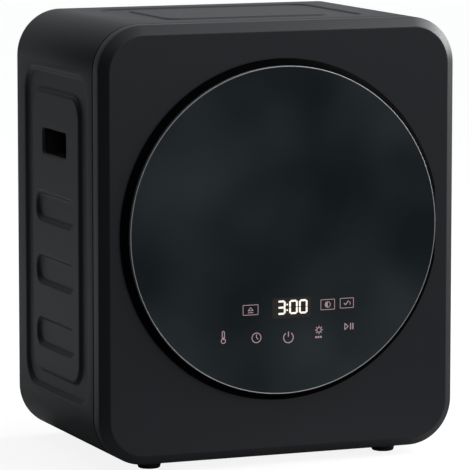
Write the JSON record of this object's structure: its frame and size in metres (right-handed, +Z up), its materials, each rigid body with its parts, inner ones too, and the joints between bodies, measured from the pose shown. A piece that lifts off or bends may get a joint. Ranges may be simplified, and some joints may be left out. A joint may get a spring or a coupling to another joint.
{
  "type": "tumble dryer",
  "caption": "Compact front-loading tumble clothes dryer: black rounded cabinet, round dark-glass door with touch display, turning drum, lift-out lint filter, belt drive and rear exhaust.",
  "frame": {"origin": "on the floor, under the middle of the machine's bounding box", "axes": "+Z up, front with the door faces -Y, +X to the right as seen from the front"},
  "size_m": [0.49, 0.3486, 0.571],
  "materials": {
    "cabinet_black": "fine matte texture, near black",
    "rear_plastic": "fine matte texture, black",
    "cup_plastic": "plain matte black",
    "exhaust_plastic": "plain matte black",
    "gland_plastic": "plain black",
    "foot_rubber": "matte black rubber",
    "collar_plastic": "satin dark grey",
    "seal_rubber": "dark rubber",
    "plate_steel": "zinc-coated sheet",
    "felt": "pressed felt",
    "bush_bronze": "sintered bronze",
    "element_aluminium": "finned",
    "duct_plastic": "plain moulded grey",
    "fan_plastic": "moulded dark grey",
    "motor_steel": "dark lacquer",
    "shaft_steel": "ground",
    "pulley_metal": "turned",
    "belt_rubber": "ribbed belt",
    "electric_plastic": "plain black",
    "board_green": "green laminate",
    "display_black": "black lens",
    "touch_metal": "spring wire",
    "screw_steel": "zinc",
    "hinge_black": "black coated",
    "ring_gloss": "high gloss black",
    "door_glass": "dark tinted, printed black behind",
    "trim_silver": "satin silver edge",
    "liner_plastic": "satin black",
    "window_smoked": "smoked clear plastic",
    "drum_steel": "perforated stainless",
    "lifter_plastic": "satin grey",
    "filter_plastic": "moulded grey",
    "filter_mesh": "fine mesh"
  },
  "bodies": {
    "cabinet": {"outer_shell": "cabinet_black", "front_frame": "cabinet_black", "rear_panel": "rear_plastic", "left_hand_cup": "cup_plastic", "right_hand_cup": "cup_plastic", "exhaust_collar": "exhaust_plastic", "cord_gland": "gland_plastic", "foot_front_left": "foot_rubber", "foot_front_right": "foot_rubber", "foot_rear_left": "foot_rubber", "foot_rear_right": "foot_rubber", "mouth_collar": "collar_plastic", "door_seal": "seal_rubber", "front_bulkhead": "plate_steel", "rear_bulkhead": "plate_steel", "heater_box": "plate_steel", "motor_bracket": "plate_steel", "bearing_housing": "plate_steel", "felt_ring": "felt", "drum_bush": "bush_bronze", "heater_element": "element_aluminium", "lint_duct": "duct_plastic", "blower_housing": "duct_plastic", "filter_housing": "duct_plastic", "board_tray": "duct_plastic", "motor_stator": "motor_steel", "drive_belt": "belt_rubber", "thermostat": "electric_plastic", "run_capacitor": "electric_plastic", "door_switch": "electric_plastic", "power_board": "board_green", "rear_screws": "screw_steel", "catch_plates": "screw_steel", "hinge_bracket": "hinge_black"},
    "door": {"door_ring": "ring_gloss", "hinge_pin": "shaft_steel", "door_glass": "door_glass", "door_trim": "trim_silver", "door_liner": "liner_plastic", "door_window": "window_smoked", "door_screws": "screw_steel", "display_board": "board_green", "display_module": "display_black", "touch_pads": "touch_metal", "door_magnets": "screw_steel"},
    "drum": {"drum_shell": "drum_steel", "drum_back": "drum_steel", "lifter_1": "lifter_plastic", "lifter_2": "lifter_plastic", "lifter_3": "lifter_plastic", "drum_shaft": "shaft_steel", "shaft_clip": "shaft_steel"},
    "rotor": {"motor_shaft": "shaft_steel", "drive_pulley": "pulley_metal", "fan_impeller": "fan_plastic"},
    "lint_filter": {"filter_frame": "filter_plastic", "filter_screens": "filter_mesh"}
  },
  "joints": [
    {"name": "door_hinge", "type": "hinge", "parent": "cabinet", "child": "door", "pos_m": [0.2085, -0.16695, 0.305], "axis": [0, 0, 1], "range_deg": [0, 105]},
    {"name": "drum_spin", "type": "hinge", "parent": "cabinet", "child": "drum", "pos_m": [0, -0.00475, 0.305], "axis": [0, 1, 0], "continuous": true},
    {"name": "rotor_spin", "type": "hinge", "parent": "cabinet", "child": "rotor", "pos_m": [-0.165, 0.03925, 0.073], "axis": [0, 1, 0], "continuous": true},
    {"name": "filter_slide", "type": "slide", "parent": "cabinet", "child": "lint_filter", "axis": [0, 0, 1], "range_m": [0, 0.08]}
  ],
  "couplings": [
    {"joint": "rotor_spin", "follows": "drum_spin", "ratio": 20}
  ]
}
